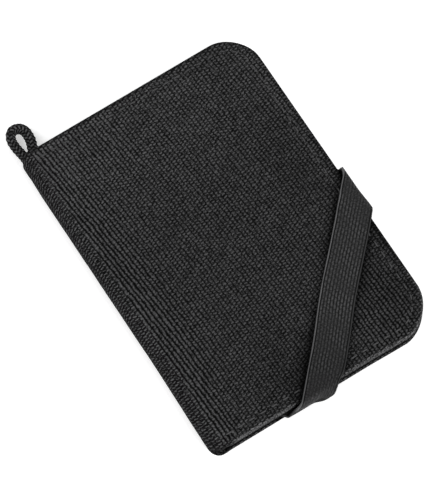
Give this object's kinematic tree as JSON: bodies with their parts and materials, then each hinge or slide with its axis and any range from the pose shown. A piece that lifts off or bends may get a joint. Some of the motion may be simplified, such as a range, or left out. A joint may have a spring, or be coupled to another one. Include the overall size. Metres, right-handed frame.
{
  "type": "passport holder wallet",
  "caption": "Woven fabric passport wallet that opens like a book, with an elastic strap across one corner and a cord loop at the end of its spine.",
  "frame": {"origin": "middle of the back cover's outer face, halfway up its height and across its width", "axes": "+Z out through the closed front cover, +X from the spine to the opening edge, +Y up the height of the covers towards the cord loop"},
  "size_m": [0.1026, 0.1558, 0.0095],
  "materials": {
    "shell_fabric": "coarse plain weave, matt",
    "lining_fabric": "fine weave, matt",
    "stiffener_board": "plain",
    "foam": "plain",
    "elastic_webbing": "ribbed elastic, slight sheen",
    "braided_cord": "braided",
    "thread": "twisted thread"
  },
  "bodies": {
    "back_cover": {"back_outer_panel": "shell_fabric", "back_stiffener_board": "stiffener_board", "back_lining": "lining_fabric", "back_edge_stitching": "thread", "card_slot_rear": "lining_fabric", "card_slot_middle": "lining_fabric", "card_slot_front": "lining_fabric", "card_slot_side_seam": "thread", "strap_fore_bar_tack": "thread", "strap_bottom_bar_tack": "thread", "cord_loop": "braided_cord", "loop_bar_tack": "thread"},
    "spine": {"spine_outer_panel": "shell_fabric", "spine_lining": "lining_fabric"},
    "front_cover": {"front_outer_panel": "shell_fabric", "front_foam_padding": "foam", "front_stiffener_board": "stiffener_board", "front_lining": "lining_fabric", "front_edge_stitching": "thread", "passport_sleeve": "lining_fabric"},
    "strap": {"elastic_strap": "elastic_webbing"}
  },
  "joints": [
    {"name": "front_cover_fold", "type": "hinge", "parent": "spine", "child": "front_cover", "pos_m": [-0.04855, 0, 0.00675], "axis": [0, -1, 0], "range_deg": [0, 90]},
    {"name": "back_cover_fold", "type": "hinge", "parent": "back_cover", "child": "spine", "pos_m": [-0.04855, 0, 0.00145], "axis": [0, -1, 0], "range_deg": [0, 90], "deforming": ["elastic_strap"]},
    {"name": "strap_pull_off", "type": "slide", "parent": "back_cover", "child": "strap", "axis": [0.7328, -0.6805, 0], "range_m": [0, 0.046], "stiffness_N_per_m": 60, "deforming": ["elastic_strap"]}
  ],
  "couplings": [
    {"joint": "front_cover_fold", "follows": "back_cover_fold", "ratio": 1}
  ]
}
